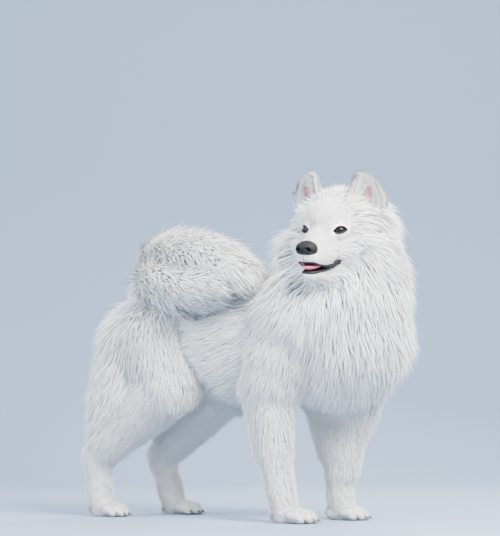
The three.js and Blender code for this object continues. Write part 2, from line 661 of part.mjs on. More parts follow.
function tonguePiece() {
  const rings = [[92, 10, 3], [112, 13, 3.2], [132, 13.5, 3], [143, 10, 2.6]].map(([x, half, thick]) =>
    Array.from({ length: 10 }, (_, j) => {
      const angle = (2 * Math.PI * j) / 10;
      const floorAt = lipHeight(LOWER_LIP, x) + GAP + thick;
      return onHead(x, half * Math.cos(angle), floorAt + thick * Math.sin(angle));
    }),
  );
  return ringShell(centreOf(rings[0]), rings, onHead(148, 0, lipHeight(LOWER_LIP, 148) + GAP + 3));
}
nodes.tongue = largestBody(tonguePiece().subtract(lowerLip(2.6 + GAP)));

for (const [name, side] of [["left", 1], ["right", -1]]) {
  nodes.head = nodes.head.subtract(earShell(side, 0, GAP));
  nodes["ear_" + name] = largestBody(earShell(side, 0, 0).subtract(earShell(side, 5, 0)));
}
nodes.head = largestBody(nodes.head);

// The finished group
const NOSE_LEATHER = { color: 0x1d1b1c, roughness: 0.5, metalness: 0 };
const LOOKS = {
  eye_left: BLACK_SKIN, eye_right: BLACK_SKIN, nose: NOSE_LEATHER,
  tongue: { color: 0xd98a8c, roughness: 0.55, metalness: 0 },
};
const root = new THREE.Group();
root.name = "samoyed";
for (const [name, solid] of Object.entries(nodes)) {
  const placed = toGeometry(solid).translate(-BODY_CENTRE.x, -BODY_CENTRE.y, 0);
  const flat = toGeometry(largestBody(toSolid(placed, WELD))).toNonIndexed();
  flat.computeVertexNormals();
  const node = new THREE.Mesh(flat, new THREE.MeshStandardMaterial(LOOKS[name] ?? WHITE));
  node.name = name;
  root.add(node);
}

export default root;
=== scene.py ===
"""A life-size white samoyed: skin, face and coat over its frame, on a plain pale floor in soft light."""

import math

import bpy
import bmesh
import numpy as np
from mathutils import Matrix, Vector
from mathutils.kdtree import KDTree


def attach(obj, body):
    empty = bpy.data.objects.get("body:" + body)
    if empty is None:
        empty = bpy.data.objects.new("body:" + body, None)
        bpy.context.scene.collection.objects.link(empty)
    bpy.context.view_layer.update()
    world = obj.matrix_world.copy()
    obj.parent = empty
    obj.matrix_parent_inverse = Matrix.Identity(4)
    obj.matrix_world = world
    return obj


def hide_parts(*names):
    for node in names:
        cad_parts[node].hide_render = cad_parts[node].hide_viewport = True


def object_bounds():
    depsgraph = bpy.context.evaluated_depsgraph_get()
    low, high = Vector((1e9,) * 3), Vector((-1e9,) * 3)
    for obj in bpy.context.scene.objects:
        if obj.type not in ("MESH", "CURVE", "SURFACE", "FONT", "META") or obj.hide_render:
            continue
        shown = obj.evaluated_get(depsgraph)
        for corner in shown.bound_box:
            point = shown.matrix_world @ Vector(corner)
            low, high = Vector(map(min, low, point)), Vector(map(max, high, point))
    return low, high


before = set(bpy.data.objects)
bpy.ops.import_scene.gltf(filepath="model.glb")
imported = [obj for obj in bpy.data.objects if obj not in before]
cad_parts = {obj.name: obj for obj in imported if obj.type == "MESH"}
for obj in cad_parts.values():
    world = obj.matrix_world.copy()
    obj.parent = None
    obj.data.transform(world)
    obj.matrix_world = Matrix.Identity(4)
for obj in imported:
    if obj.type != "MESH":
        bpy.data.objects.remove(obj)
box_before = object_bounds()
rng = np.random.default_rng(20)

MM = 0.001
SHIFT = np.array([4.5, 20.6, 0.0])  # from the middle of the trunk to the middle of the footprint
BOX_LOW, BOX_HIGH = [np.array(v) / MM - SHIFT for v in box_before]  # the solids' own box
HEAD_AT = np.array([237.0, -38.0, 585.0])
HEAD_TURN, HEAD_DIP, HEAD_TILT = math.radians(-86), math.radians(8), math.radians(-6)
EYE_R = 12.5
EYE_SUNK = 1.2  # how far the eyeball's front lies under the tips of the face's hair
LID_HALF, LID_HIGH = 15.0, 7.4  # half the width of the lids' opening, and its rise
TRUNK_BLEND, FACE_BLEND, TAIL_BLEND, TOE_BLEND = 30.0, 14.0, 20.0, 5.0
HEAD_JOIN, TAIL_JOIN, PAW_JOIN = 26.0, 8.0, 7.0  # how softly each group runs into the rest
SHORT_WOOL = 16  # a coat no deeper than this has no wool of its own
WOOL_SHARE, TAIL_WOOL_SHARE = 0.3, 0.5
SHORT_HAIR = 11.0  # hair up to this depth is short coat, the rest long coat
TUFTS, EAR_TUFTS = 134000, 5200

# The head's own frame: x' forward, y' to its left, z' up
HEAD_M = (Matrix.Translation(Vector(HEAD_AT)) @ Matrix.Rotation(HEAD_TURN, 4, "Z")
          @ Matrix.Rotation(HEAD_DIP, 4, "Y") @ Matrix.Rotation(HEAD_TILT, 4, "X"))
HEAD_R = np.array(HEAD_M.to_3x3())


def on_head(p):
    return np.asarray(p, float) @ HEAD_R.T + HEAD_AT


def to_head(p):
    return (np.asarray(p, float) - HEAD_AT) @ HEAD_R


def unit(v):
    v = np.asarray(v, float)
    return v / np.maximum(np.linalg.norm(v, axis=-1, keepdims=True), 1e-9)


def hj(x, y, z, r, c):
    return (*on_head((x, y, z)), r, c)


# ---- Form: chains of joints (x, y, z, skin radius, depth of coat), each in the way its hair lies
TRUNK = [
    [(150, 0, 414, 78, 42), (0, 0, 406, 80, 42), (-150, 0, 408, 72, 42), (-245, 0, 398, 62, 44)],
    [(150, 0, 350, 72, 38), (0, 0, 350, 74, 40), (-140, 0, 374, 60, 44)],
    [(226, 0, 455, 80, 66), (234, 6, 388, 74, 66), (212, 14, 338, 62, 50)],
]
NECK = [[(236, -14, 578, 60, 58), (222, -2, 515, 78, 66), (184, 0, 440, 88, 60)]]
SHOULDERS = [[(150, s * 60, 400, 50, 40), (150 if s > 0 else 112, s * 72, 300, 40, 30)] for s in (1, -1)]
FORE = [(1, 150, 172, 174, 186), (-1, 98, 112, 126, 152)]
HIND = [(1, -112, -292, -262, -232), (-1, -150, -346, -338, -314)]


def mix(a, b, t):
    return a + (b - a) * t


def foreleg(s, elbow, carpus, pastern):
    y = s * 79
    return [
        [(elbow + 26, y - s * 8, 330, 40, 32), (elbow + 4, y, 262, 31, 22), (carpus, y, 112, 22, 15),
         (pastern, y, 44, 20, 13), (pastern + 6, y, 16, 20, 10)],
        [(elbow - 22, y, 268, 18, 26), (carpus - 20, y, 150, 12, 18)],
    ]


def hindleg(s, stifle, hock, pastern):
    y = s * 82
    return [
        [(-190, s * 50, 388, 68, 40), (stifle - 6, s * 74, 288, 48, 30),
         (mix(stifle, hock, 0.62), y - s * 2, 192, 32, 24), (hock + 6, y, 128, 20, 14)],
        [(-250, s * 46, 376, 52, 56), (mix(-262, hock + 40, 0.45), s * 66, 278, 36, 52),
         (hock + 34, y, 190, 20, 34)],
        [(hock, y, 130, 18, 12), (mix(hock, pastern, 0.6), y, 80, 20, 14), (pastern, y, 42, 20, 12),
         (pastern + 10, y, 16, 20, 10)],
    ]


TAIL = [
    [(-246, 0, 440, 26, 42), (-240, -8, 504, 22, 48), (-200, -34, 548, 20, 54), (-140, -64, 556, 18, 56),
     (-70, -90, 544, 16, 56), (-5, -106, 524, 13, 52), (42, -114, 502, 9, 44)],
    [(-165, -104, 500, 16, 44), (-80, -128, 478, 15, 46), (0, -132, 482, 11, 40)],
]
HEAD = [
    [hj(55, 0, 20, 38, 8), hj(18, 0, 10, 56, 12), hj(-20, 0, -8, 54, 34)],
    [hj(141, 0, -45, 18.5, 3), hj(112, 0, -38, 26, 5), hj(80, 0, -22, 31, 7)],
    [hj(130, 0, -82, 14, 4), hj(104, 0, -80, 18, 6), hj(62, 0, -74, 26, 10)],
]
for s in (1, -1):
    HEAD += [[hj(68, s * 24, 10, 12, 4), hj(34, s * 40, 14, 22, 10)],
             [hj(72, s * 24, -40, 20, 5), hj(24, s * 46, -32, 30, 14), hj(4, s * 58, -44, 36, 34)],
             [hj(138, s * 9, -52, 13, 3), hj(110, s * 15, -50, 18, 5)]]
LEGS = [c for f in FORE for c in foreleg(*f[:4])] + [c for h in HIND for c in hindleg(*h[:4])]
TOES = [(-20, 34, -5), (-7, 45, -1.5), (7, 45, 1.5), (20, 34, 5)]
PAW_AT = [(f[4], f[0] * 79, 1.0) for f in FORE] + [(h[4], h[0] * 82, 0.92) for h in HIND]
PAWS = []
for px, py, wide in PAW_AT:
    PAWS += [[(px - 26, py + k * 9 * wide, 15, 13, 4), (px + 8, py + k * 12 * wide, 14, 12, 4)]
             for k in (-1, 1)]
    for across, reach, turn in TOES:
        PAWS.append([(px + 4, py + across * wide, 16, 9, 4),
                     (px + reach * 0.65, py + (across + turn * 0.5) * wide, 14, 9.4, 4),
                     (px + reach - 4, py + (across + turn) * wide, 9, 7, 3)])


def with_undercoat(chains, share=WOOL_SHARE):
    """The dense wool next to the skin is part of the skin's surface; the tufts stand on it."""
    def joint(x, y, z, r, c):
        wool = share * max(c - SHORT_WOOL, 0)
        return x, y, z, r + wool, c - wool
    return [[joint(*j) for j in chain] for chain in chains]


FEATHERS = [[(218, 66, 322, 38, 42), (206, 84, 240, 30, 30), (193, 82, 170, 24, 18), (187, 79, 112, 20, 12)]]
BODY = with_undercoat(TRUNK + NECK + SHOULDERS + LEGS + FEATHERS)
TAIL = with_undercoat(TAIL, TAIL_WOOL_SHARE)
HEAD = with_undercoat(HEAD)
GROUPS = ((BODY, TRUNK_BLEND, 0), (HEAD, FACE_BLEND, HEAD_JOIN), (TAIL, TAIL_BLEND, TAIL_JOIN),
          (PAWS, TOE_BLEND, PAW_JOIN))


def chain_distance(p, chain, level):
    """Distance from points to a chain's surface: level 0 is the skin and its wool, 1 the coat's tips."""
    best = np.full(len(p), 1e9, p.dtype)
    for a, b in zip(chain, chain[1:]):
        a, b = np.array(a, p.dtype), np.array(b, p.dtype)
        along = b[:3] - a[:3]
        t = np.clip((p - a[:3]) @ along / (along @ along), 0, 1)
        off = p - a[:3] - t[:, None] * along
        r = a[3] + level * a[4] + t * (b[3] - a[3] + level * (b[4] - a[4]))
        np.minimum(best, np.sqrt(np.einsum("ij,ij->i", off, off)) - r, out=best)
    return best


def smooth_min(a, b, k):
    near = np.maximum(k - np.abs(a - b), 0) / k
    return np.minimum(a, b) - near * near * k / 4


def group_distance(p, chains, blend, level):
    d = None
    for chain in chains:
        n = chain_distance(p, chain, level)
        d = n if d is None else smooth_min(d, n, blend)
    return d


def form(p, level):
    """Distance to the whole animal's surface at one level."""
    p = np.asarray(p)
    total = None
    for chains, blend, join in GROUPS:
        d = group_distance(p, chains, blend, level)
        total = d if total is None else smooth_min(total, d, join)
    return total


def head_form(p, level):
    return group_distance(p, HEAD, FACE_BLEND, level)


def gradient(p, f, step=1.5):
    g = np.stack([f(p + e) - f(p - e) for e in np.eye(3) * step], axis=1)
    return unit(g)


# ---- Face: eyes, mouth and nose in the head's frame
MOUTH_CORNER = (60.0, -45.0)
UPPER_LIP = [(72, -53), (90, -59), (110, -68), (134, -65), (150, -61), (175, -60)]
LOWER_LIP = [(72, -56), (90, -64), (110, -75.5), (136, -79.5), (175, -81)]


def lip_height(profile, x):
    pts = [MOUTH_CORNER] + profile
    return np.interp(x, [q[0] for q in pts], [q[1] for q in pts])


def cast(start, direction, f, far=170.0):
    """Where a ray from inside a form leaves it."""
    start, direction = np.asarray(start), np.asarray(direction)
    s = np.linspace(0, far, 240)
    out = np.argmax(f(start + s[:, None] * direction) > 0)
    lo, hi = s[max(out - 1, 0)], s[out]
    for _ in range(12):
        m = (lo + hi) / 2
        if f((start + m * direction)[None])[0] > 0:
            hi = m
        else:
            lo = m
    return start + lo * direction


EYES = []
for s in (1, -1):
    out = unit((0.86, s * 0.5, 0.1)) @ HEAD_R.T
    surface = cast(on_head((50, s * 22, 1)), out, lambda q: head_form(q, 1))
    up_head = np.array((0, 0, 1.0)) @ HEAD_R.T
    u = unit(np.cross(up_head, out))
    EYES.append({"side": s, "centre": surface - out * (EYE_R + EYE_SUNK), "out": out, "u": u,
                 "v": np.cross(out, u)})


def in_eye(p, eye):
    q = p - eye["centre"]
    return q @ eye["u"], q @ eye["v"], q @ eye["out"]


def almond(a, eye, half, high):
    """Upper and lower edge of the lids' opening at a across it."""
    t = np.clip(np.abs(a) / half, 0, 1)
    rise = high * (1 - t ** 2.2)
    tilt = 0.15 * a * eye["side"]
    return tilt + rise, tilt - rise * 0.85


def face_carve(p, d):
    """The lids and sockets and the mouth's slit, cut into or laid on the skin."""
    for eye in EYES:
        a, b, f = in_eye(p, eye)
        r = np.sqrt(a * a + b * b + f * f)
        d = smooth_min(d, r - (EYE_R + 2.6), 7.0)
        top, low = almond(a, eye, LID_HALF, LID_HIGH)
        edge = np.maximum(np.maximum(b - top, low - b), np.abs(a) - LID_HALF)
        d = np.maximum(d, -np.maximum(edge, 3.0 - f))
    h = to_head(p)
    x, y, z = h[:, 0], h[:, 1], h[:, 2]
    slit = np.maximum(z - lip_height(UPPER_LIP, x), lip_height(LOWER_LIP, x) - z)
    slit = np.maximum(np.maximum(slit, MOUTH_CORNER[0] - x), np.abs(y) - 62)
    return np.maximum(d, -slit)


# ---- The skin: one closed surface of the form, found on a grid
def surface_net(lo, hi, cell):
    """A quad mesh of the skin's zero surface inside a box, and its grid."""
    n = np.ceil((np.array(hi) - lo) / cell).astype(int) + 1
    axes = [lo[i] + cell * np.arange(n[i]) for i in range(3)]

    def sub(chains, blend, margin):
        part = np.full(n, 60.0, np.float32)
        for chain in chains:
            pts = np.array([c[:3] for c in chain])
            rad = max(c[3] for c in chain) + margin
            i0 = np.clip(((pts.min(0) - rad - lo) / cell).astype(int), 0, n - 1)
            i1 = np.clip(((pts.max(0) + rad - lo) / cell).astype(int) + 2, 1, n)
            g = np.stack(np.meshgrid(*[axes[k][i0[k]:i1[k]] for k in range(3)], indexing="ij"), -1)
            p = g.reshape(-1, 3).astype(np.float32)
            d = np.minimum(chain_distance(p, chain, 0), 60).reshape(g.shape[:3])
            s = tuple(slice(i0[k], i1[k]) for k in range(3))
            part[s] = smooth_min(part[s], d, blend)
        return part

    field = sub(BODY, TRUNK_BLEND, 34)
    field = smooth_min(field, sub(HEAD, FACE_BLEND, 34), HEAD_JOIN)
    field = smooth_min(field, sub(TAIL, TAIL_BLEND, 30), TAIL_JOIN)
    field = smooth_min(field, sub(PAWS, TOE_BLEND, 12), PAW_JOIN)
    h0, h1 = on_head((40, 0, -30)) - 130, on_head((100, 0, -30)) + 130
    i0 = np.clip(((np.minimum(h0, h1) - lo) / cell).astype(int), 0, n - 1)
    i1 = np.clip(((np.maximum(h0, h1) - lo) / cell).astype(int), 1, n)
    g = np.stack(np.meshgrid(*[axes[k][i0[k]:i1[k]] for k in range(3)], indexing="ij"), -1)
    s = tuple(slice(i0[k], i1[k]) for k in range(3))
    field[s] = face_carve(g.reshape(-1, 3), field[s].reshape(-1).astype(float)).reshape(g.shape[:3])

    inside = field < 0
    corners = [(i, j, k) for i in (0, 1) for j in (0, 1) for k in (0, 1)]
    m = n - 1
    block = lambda c: tuple(slice(c[a], c[a] + m[a]) for a in range(3))
    count = sum(inside[block(c)].astype(np.int8) for c in corners)
    active = (count > 0) & (count < 8)
    idx = -np.ones(m, np.int64)
    idx[active] = np.arange(active.sum())
    where = np.argwhere(active)
    total = np.zeros((len(where), 3))
    hits = np.zeros(len(where))
    val = {c: field[tuple((where + c).T)] for c in corners}
    for a in corners:
        for k in range(3):
            if a[k]:
                continue
            b = tuple(a[i] + (i == k) for i in range(3))
            va, vb = val[a], val[b]
            cross = (va < 0) != (vb < 0)
            t = np.where(cross, va / np.where(cross, va - vb, 1), 0)
            pt = np.array(a, float)[None] + t[:, None] * np.eye(3)[k]
            total += np.where(cross[:, None], pt, 0)
            hits += cross
    verts = lo + cell * (where + total / hits[:, None])
    quads = []
    for k in range(3):
        i, j = (k + 1) % 3, (k + 2) % 3
        sl0 = [slice(1, -1)] * 3
        sl0[k] = slice(0, n[k] - 1)
        sl1 = list(sl0)
        sl1[k] = slice(1, n[k])
        c0, c1 = inside[tuple(sl0)], inside[tuple(sl1)]
        for flip in (False, True):
            at = np.argwhere((c0 & ~c1) if not flip else (~c0 & c1))
            if not len(at):
                continue
            base = at.copy()
            base[:, i] += 1
            base[:, j] += 1
            ring = []
            for di, dj in ((-1, -1), (0, -1), (0, 0), (-1, 0)):
                c = base.copy()
                c[:, i] += di
                c[:, j] += dj
                ring.append(idx[tuple(c.T)])
            q = np.stack(ring, 1)
            quads.append(q[:, ::-1] if flip else q)
    return verts, np.concatenate(quads)


def new_object(name, verts, faces, material, smooth=True):
    """A mesh object from points in millimetres in the form's frame and faces of one size or a list."""
    mesh = bpy.data.meshes.new(name)
    verts = (np.asarray(verts, float) + SHIFT) * MM
    if isinstance(faces, np.ndarray):
        mesh.vertices.add(len(verts))
        mesh.vertices.foreach_set("co", verts.astype(np.float32).ravel())
        k = faces.shape[1]
        mesh.loops.add(faces.size)
        mesh.loops.foreach_set("vertex_index", faces.astype(np.int32).ravel())
        mesh.polygons.add(len(faces))
        mesh.polygons.foreach_set("loop_start", (np.arange(len(faces)) * k).astype(np.int32))
        mesh.update(calc_edges=True)
    else:
        mesh.from_pydata([tuple(v) for v in verts], [], [tuple(f) for f in faces])
    mesh.validate()
    mesh.polygons.foreach_set("use_smooth", np.full(len(mesh.polygons), smooth))
    obj = bpy.data.objects.new(name, mesh)
    bpy.context.scene.collection.objects.link(obj)
    for m in material if isinstance(material, list) else [material]:
        mesh.materials.append(m)
    return obj


# ---- Materials
def principled(name, color, rough, **inputs):
    m = bpy.data.materials.new(name)
    m.use_nodes = True
    b = m.node_tree.nodes["Principled BSDF"]
    b.inputs["Base Color"].default_value = (*color, 1)
    b.inputs["Roughness"].default_value = rough
    for key, value in inputs.items():
        b.inputs[key].default_value = value
    return m, b


def mottle(m, b, low, high, scale, detail=3.0, bump=0.0, bump_scale=None):
    """Varies a colour gently over the object, and raises a fine grain."""
    t = m.node_tree
    co = t.nodes.new("ShaderNodeTexCoord")
    noise = t.nodes.new("ShaderNodeTexNoise")
    noise.inputs["Scale"].default_value = scale
    noise.inputs["Detail"].default_value = detail
    ramp = t.nodes.new("ShaderNodeValToRGB")
    ramp.color_ramp.elements[0].position = 0.3
    ramp.color_ramp.elements[1].position = 0.7
    ramp.color_ramp.elements[0].color = (*low, 1)
    ramp.color_ramp.elements[1].color = (*high, 1)
    t.links.new(co.outputs["Object"], noise.inputs["Vector"])
    t.links.new(noise.outputs["Fac"], ramp.inputs["Fac"])
    t.links.new(ramp.outputs["Color"], b.inputs["Base Color"])
    if bump:
        grain = t.nodes.new("ShaderNodeTexNoise")
        grain.inputs["Scale"].default_value = bump_scale
        grain.inputs["Detail"].default_value = 4.0
        lift = t.nodes.new("ShaderNodeBump")
        lift.inputs["Strength"].default_value = bump
        lift.inputs["Distance"].default_value = 0.0006
        t.links.new(co.outputs["Object"], grain.inputs["Vector"])
        t.links.new(grain.outputs["Fac"], lift.inputs["Height"])
        t.links.new(lift.outputs["Normal"], b.inputs["Normal"])


skin_mat, skin_b = principled("skin", (0.8, 0.76, 0.72), 0.8)
mottle(skin_mat, skin_b, (0.84, 0.80, 0.77), (0.93, 0.90, 0.87), 30, bump=0.4, bump_scale=500)
coat_mat, coat_b = principled("white coat", (0.95, 0.94, 0.92), 0.55)
coat_b.inputs["Specular IOR Level"].default_value = 0.3
coat_b.inputs["Sheen Weight"].default_value = 0.35
coat_b.inputs["Sheen Roughness"].default_value = 0.5
coat_b.inputs["Subsurface Weight"].default_value = 0.5
coat_b.inputs["Subsurface Radius"].default_value = (1.0, 0.95, 0.9)
coat_b.inputs["Subsurface Scale"].default_value = 0.004
mottle(coat_mat, coat_b, (0.93, 0.915, 0.885), (0.975, 0.97, 0.96), 9, detail=4)
lip_mat, lip_b = principled("lips and lids", (0.012, 0.011, 0.012), 0.4)
lip_b.inputs["Specular IOR Level"].default_value = 0.12
mottle(lip_mat, lip_b, (0.010, 0.009, 0.010), (0.03, 0.027, 0.028), 300, bump=0.3, bump_scale=900)
mouth_mat, _ = principled("mouth lining", (0.10, 0.025, 0.028), 0.35)
tongue_mat, tongue_b = principled("tongue", (0.62, 0.2, 0.22), 0.32)
mottle(tongue_mat, tongue_b, (0.50, 0.11, 0.14), (0.66, 0.20, 0.24), 120, bump=0.5, bump_scale=1400)
nose_mat, nose_b = principled("nose leather", (0.012, 0.011, 0.012), 0.48)
nose_b.inputs["Specular IOR Level"].default_value = 0.12
mottle(nose_mat, nose_b, (0.006, 0.006, 0.007), (0.018, 0.016, 0.018), 400, bump=0.8, bump_scale=1100)
eye_mat, eye_b = principled("eye", (0.008, 0.005, 0.004), 0.08)
eye_b.inputs["Specular IOR Level"].default_value = 0.25
eye_b.inputs["IOR"].default_value = 1.3
eye_b.inputs["Coat Weight"].default_value = 0.15
eye_b.inputs["Coat Roughness"].default_value = 0.02
ear_mat, ear_b = principled("ear skin", (0.80, 0.48, 0.45), 0.6)
mottle(ear_mat, ear_b, (0.42, 0.15, 0.15), (0.58, 0.27, 0.26), 60, bump=0.3, bump_scale=500)
claw_mat, claw_b = principled("claw", (0.30, 0.26, 0.23), 0.35)
mottle(claw_mat, claw_b, (0.07, 0.06, 0.055), (0.16, 0.14, 0.125), 200)

# ---- Skin
CELL = 3.2
verts, quads = surface_net(np.array([-404.0, -220.0, -9.0]), (404, 184, 690), CELL)
for _ in range(2):
    d = form(verts, 0)
    h = to_head(verts)
    face = (h[:, 0] > 40) & (np.abs(h[:, 1]) < 70) & (np.abs(h[:, 2] + 30) < 75)
    move = np.where(face, 0, d)
    verts = verts - gradient(verts, lambda q: form(q, 0)) * move[:, None] * 0.9
verts[:, 2] = np.maximum(verts[:, 2], 0.4)
skin = new_object("skin", verts, quads, [skin_mat, mouth_mat, lip_mat])


def in_mouth(p, margin=0.0):
    h = to_head(p)
    x, y, z = h.T
    return ((x > MOUTH_CORNER[0] - 2) & (np.abs(y) < 60) & (z < lip_height(UPPER_LIP, x) + margin)
            & (z > lip_height(LOWER_LIP, x) - margin))


# A finer face: its faces are split once more and the new points set on the same surface
bm = bmesh.new()
bm.from_mesh(skin.data)
bm.verts.ensure_lookup_table()
co = np.array([v.co[:] for v in bm.verts]) / MM - SHIFT
h = to_head(co)
near = (h[:, 0] > 45) & (np.abs(h[:, 1]) < 64) & (h[:, 2] > -110) & (h[:, 2] < 40)
edges = [e for e in bm.edges if near[e.verts[0].index] and near[e.verts[1].index]]
bmesh.ops.subdivide_edges(bm, edges=edges, cuts=1, use_grid_fill=True)
bmesh.ops.triangulate(bm, faces=bm.faces[:])
bm.to_mesh(skin.data)
bm.free()
co = np.empty(len(skin.data.vertices) * 3, np.float32)
skin.data.vertices.foreach_get("co", co)
co = co.reshape(-1, 3).astype(float) / MM - SHIFT
h = to_head(co)
near = np.where((h[:, 0] > 42) & (np.abs(h[:, 1]) < 68) & (np.abs(h[:, 2] + 35) < 80))[0]


def carved(q):
    return face_carve(q, form(q, 0))


for _ in range(3):
    p = co[near]
    d = carved(p)
    g = gradient(p, carved, 0.8)
    co[near] = p - g * np.clip(d, -1.6, 1.6)[:, None] * 0.8
skin.data.vertices.foreach_set("co", ((co + SHIFT) * MM).astype(np.float32).ravel())
skin.data.update()
tri = np.empty(len(skin.data.polygons) * 3, np.int32)
skin.data.polygons.foreach_get("vertices", tri)
tri = tri.reshape(-1, 3)
mid = co[tri].mean(1)
lining = in_mouth(mid, 0.6)
skin.data.polygons.foreach_set("material_index", lining.astype(np.int32))
skin.data.polygons.foreach_set("use_smooth", np.ones(len(tri), bool))


def tube(name, points, radii, material, sides=8, closed=False):
    """A round tube along points, closed with flat caps at open ends."""
    pts = np.asarray(points, float)
    n = len(pts)
    nxt = np.roll(pts, -1, 0) if closed else np.vstack([pts[1:], 2 * pts[-1:] - pts[-2:-1]])
    prv = np.roll(pts, 1, 0) if closed else np.vstack([2 * pts[:1] - pts[1:2], pts[:-1]])
    tan = unit(nxt - prv)
    ref = unit(pts - HEAD_AT)
    a = unit(np.cross(tan, ref))
    b = np.cross(a, tan)
    ang = np.linspace(0, 2 * np.pi, sides, endpoint=False)
    ring = (a[:, None] * np.cos(ang)[None, :, None] + b[:, None] * np.sin(ang)[None, :, None])
    v = pts[:, None] + ring * np.asarray(radii, float).reshape(-1, 1, 1)
    v = v.reshape(-1, 3)
    f = []
    for i in range(n if closed else n - 1):
        k = (i + 1) % n
        for j in range(sides):
            m = (j + 1) % sides
            f.append((i * sides + j, i * sides + m, k * sides + m, k * sides + j))
    if not closed:
        f.append(tuple(range(sides))[::-1])
        f.append(tuple((n - 1) * sides + j for j in range(sides)))
    return new_object(name, v, f, material)


def ball(centre, axes, radii, wide=48, high=32):
    """Points and faces of a sphere scaled along three axes; the last axis is its pole."""
    th = np.linspace(0, np.pi, high + 1)
    ph = np.linspace(0, 2 * np.pi, wide, endpoint=False)
    v = [np.array((0, 0, 1.0))]
    for t in th[1:-1]:
        v += [np.array((math.sin(t) * math.cos(q), math.sin(t) * math.sin(q), math.cos(t))) for q in ph]
    v.append(np.array((0, 0, -1.0)))
    v = np.array(v)
    f = [(0, 1 + j, 1 + (j + 1) % wide) for j in range(wide)]
    for i in range(high - 2):
        for j in range(wide):
            k = (j + 1) % wide
            a, b = 1 + i * wide, 1 + (i + 1) * wide
            f.append((a + j, b + j, b + k, a + k))
    last = len(v) - 1
    a = 1 + (high - 2) * wide
    f += [(last, a + (j + 1) % wide, a + j) for j in range(wide)]
    axes = np.array(axes)
    return np.asarray(centre) + (v * radii) @ axes, f, v


# ---- Eyes and their rims
iris_mat, iris_b = principled("iris", (0.014, 0.008, 0.005), 0.08)
iris_b.inputs["Specular IOR Level"].default_value = 0.25
iris_b.inputs["IOR"].default_value = 1.3
iris_b.inputs["Coat Weight"].default_value = 0.15
iris_b.inputs["Coat Roughness"].default_value = 0.02
face_parts = []
for eye in EYES:
    side = "left" if eye["side"] > 0 else "right"
    v, f, local = ball(eye["centre"], (eye["u"], eye["v"], eye["out"]), (EYE_R, EYE_R, EYE_R))
    obj = new_object("eyeball_" + side, v, f, [eye_mat, iris_mat])
    for poly in obj.data.polygons:
        up = np.mean([local[i][2] for i in poly.vertices])
        poly.material_index = 1 if 0.72 < up < 0.93 else 0
    face_parts.append((obj, "eye_" + side))
    turn = np.linspace(0, 2 * np.pi, 56, endpoint=False)
    a = 15.2 * np.cos(turn)
    top, low = almond(a, eye, 15.4, 7.5)
    b = np.where(np.sin(turn) >= 0, mix((top + low) / 2, top, np.abs(np.sin(turn)) ** 0.25),
                 mix((top + low) / 2, low, np.abs(np.sin(turn)) ** 0.25))
    deep = np.sqrt(np.maximum((EYE_R + 2.2) ** 2 - a * a - b * b, 6.0))
    pts = eye["centre"] + a[:, None] * eye["u"] + b[:, None] * eye["v"] + deep[:, None] * eye["out"]
    face_parts.append((tube("lid_" + side, pts, np.full(56, 1.8), lip_mat, closed=True), None))

# ---- Lips: a dark line round the mouth's two edges
LIPS = (("upper_lip", UPPER_LIP, 0.9, 2.3, 0.35), ("lower_lip", LOWER_LIP, -0.6, 3.0, 0.9))
for name, profile, offset, thick, front in LIPS:
    pts = []
    for turn in np.radians(np.linspace(-104, 104, 65)):
        ray = np.array((math.cos(turn), math.sin(turn), 0)) @ HEAD_R.T
        z = profile[1][1]
        level = 1.06 * min(max((abs(turn) - 0.7) / 0.7, 0), 1)
        for _ in range(4):
            at = cast(on_head((88, 0, z + offset)), ray, lambda q: head_form(q, level))
            z = lip_height(profile, to_head(at)[0])
        pts.append(at + ray * 0.8)
    s = np.abs(np.linspace(-1, 1, 65))
    lip = thick * np.clip(1.3 - s ** 8, 0.5, 1) * np.interp(s, [0, 0.3, 0.6, 1], [front, 1, 1.3, 1.7])
    face_parts.append((tube(name, pts, lip, lip_mat, sides=10), None))

# ---- Nose: a pad with two comma-shaped nostrils and a groove between them
v, f, local = ball(on_head((150, 0, -37)), (on_head((0, 1, 0)) - HEAD_AT, on_head((0, 0, 1)) - HEAD_AT,
                                            on_head((1, 0, 0)) - HEAD_AT), (22, 16, 21), 96, 64)
h = to_head(v)
push = np.zeros(len(h))
for s in (1, -1):
    hole = np.hypot((h[:, 1] - s * 9.5) / 4.6, (h[:, 2] + 39) / 4.2)
    push += 9.0 * np.clip(1.15 - hole, 0, 1) ** 0.6 * (h[:, 0] > 152)
    slit = np.hypot((h[:, 1] - s * 16) / 6.5, (h[:, 2] + 43) / 1.9)
    push += 3.5 * np.clip(1.2 - slit, 0, 1) * (h[:, 0] > 152)
groove = np.exp(-(h[:, 1] / 1.1) ** 2) * (h[:, 2] < -36) * (h[:, 0] > 155)
h[:, 0] -= push + 1.6 * groove
h[:, 0] = np.where(h[:, 2] > -30, h[:, 0] - 0.25 * (h[:, 2] + 30), h[:, 0])
low = np.clip((-37 - h[:, 2]) / 16, 0, 1)
h[:, 1] *= 1 + 0.22 * low
h[:, 2] += 3.5 + 1.5 * low
nose = new_object("nose_pad", on_head(h), f, nose_mat)
face_parts.append((nose, "nose"))
philtrum = [on_head((x, 0, z)) for x, z in ((166.5, -49), (164.5, -53), (162, -57), (160.5, -61), (159, -64))]
face_parts.append((tube("philtrum", philtrum, (0.5, 0.7, 0.7, 0.6, 0.5), lip_mat), None))

